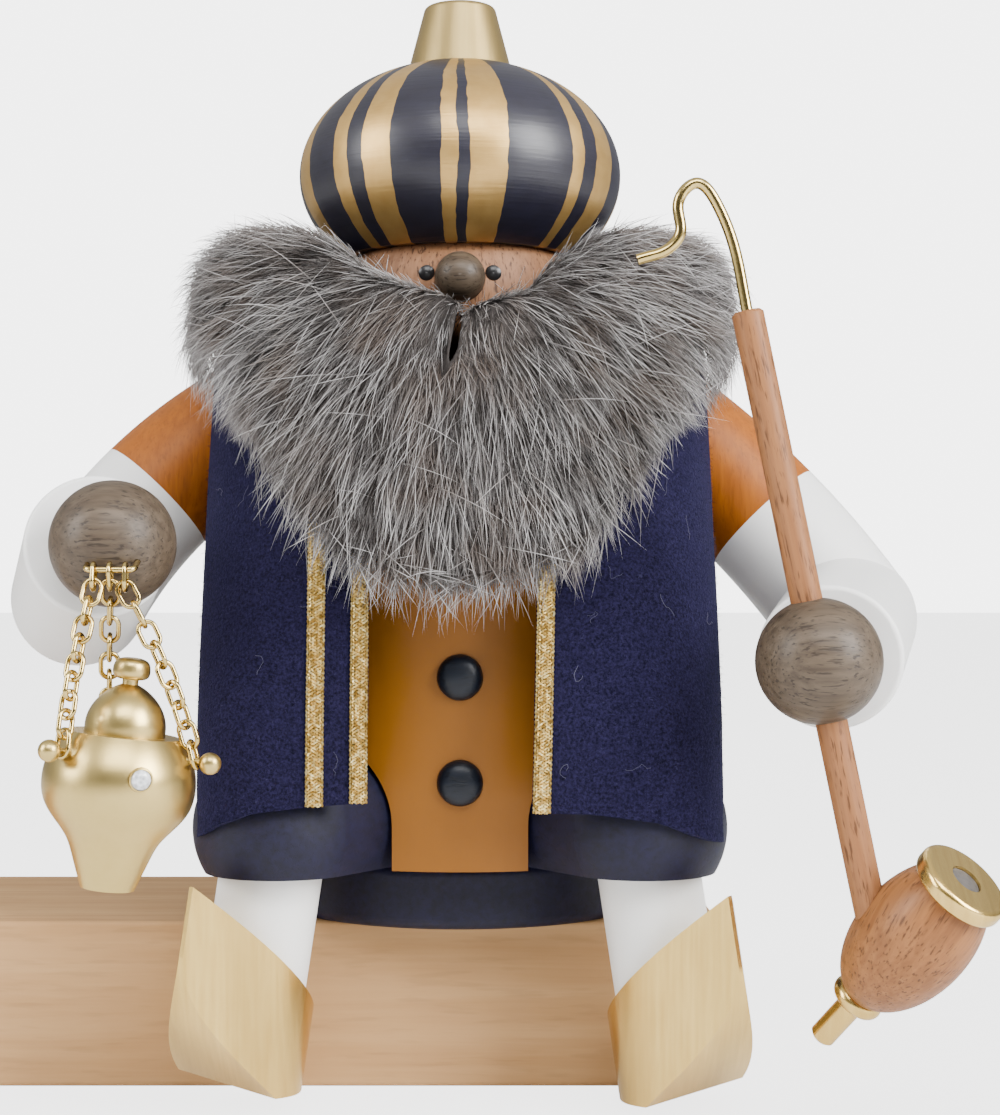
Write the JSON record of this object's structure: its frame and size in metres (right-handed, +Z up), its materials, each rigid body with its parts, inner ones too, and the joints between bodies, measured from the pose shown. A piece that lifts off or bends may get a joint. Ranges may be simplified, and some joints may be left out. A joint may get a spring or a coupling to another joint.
{
  "type": "incense smoker figure",
  "caption": "Edge-sitting turned wooden incense smoker in a striped turban, felt coat and long fur beard, with a hanging brass censer and a long pipe; the torso lifts off over the incense cone.",
  "frame": {"origin": "centre of the seat disc's flat underside, on the shelf's top surface", "axes": "+Z up, -Y towards the viewer in front of the figure, +X to the viewer's right"},
  "size_m": [0.1374, 0.1086, 0.1611],
  "materials": {
    "navy_wood": "satin stained turned wood",
    "ochre_wood": "satin painted turned wood",
    "orange_wood": "satin painted turned wood",
    "white_wood": "satin white painted turned wood",
    "gold_wood": "brushed gold lacquer on wood",
    "grey_wood": "satin grey-brown stained wood",
    "head_wood": "satin plain wood",
    "beech": "fine satin plain wood",
    "dowel_wood": "plain wood",
    "dark_wood": "dark painted wood",
    "tray_steel": "pressed sheet",
    "brass": "satin turned and drawn brass",
    "felt": "dense wool felt",
    "braid": "woven metallic braid",
    "fur": "long grey fur with pale tips",
    "crystal": "clear cut stone"
  },
  "bodies": {
    "base": {"seat_base": "navy_wood", "ember_tray": "tray_steel", "tray_nail": "tray_steel", "left_thigh": "navy_wood", "right_thigh": "navy_wood", "left_leg": "white_wood", "right_leg": "white_wood", "left_shoe": "gold_wood", "right_shoe": "gold_wood", "hip_dowels": "dowel_wood", "knee_dowels": "dowel_wood"},
    "upper_body": {"torso": "ochre_wood", "buttons": "navy_wood", "neck_tube": "dowel_wood", "head": "head_wood", "nose": "grey_wood", "eyes": "dark_wood", "crown_dowel": "dowel_wood", "turban": "navy_wood", "finial": "gold_wood", "beard": "fur", "coat": "felt", "left_outer_braid": "braid", "left_inner_braid": "braid", "right_braid": "braid", "left_upper_arm": "orange_wood", "right_upper_arm": "orange_wood", "left_sleeve": "white_wood", "right_sleeve": "white_wood", "left_hand": "grey_wood", "right_hand": "grey_wood", "shoulder_dowels": "dowel_wood", "elbow_dowels": "dowel_wood", "wrist_dowels": "dowel_wood", "staple": "brass"},
    "top_links": {"chain_top_links": "brass"},
    "censer": {"left_chain": "brass", "right_chain": "brass", "back_chain": "brass", "censer_body": "brass", "censer_lid": "brass", "chain_pins": "brass", "censer_stone": "crystal"},
    "pipe": {"pipe_stem": "beech", "pipe_wire": "brass", "pipe_bowl": "beech", "bowl_rim": "gold_wood", "bowl_plug": "dark_wood", "bowl_foot": "gold_wood"}
  },
  "joints": [
    {"name": "torso_lift", "type": "slide", "parent": "base", "child": "upper_body", "axis": [0, 0, 1], "range_m": [0, 0.07]},
    {"name": "link_swing", "type": "hinge", "parent": "upper_body", "child": "top_links", "pos_m": [-0.0442, -0.0615, 0.0512], "axis": [1, 0, 0], "range_deg": [-40, 7]},
    {"name": "censer_sway", "type": "hinge", "parent": "top_links", "child": "censer", "pos_m": [-0.0442, -0.0615, 0.0487], "axis": [0, 1, 0], "range_deg": [-12, 12]},
    {"name": "pipe_turn", "type": "hinge", "parent": "upper_body", "child": "pipe", "pos_m": [0.0468, -0.0525, 0.0393], "axis": [-0.2011, 0, 0.9796], "range_deg": [0, 90]}
  ]
}
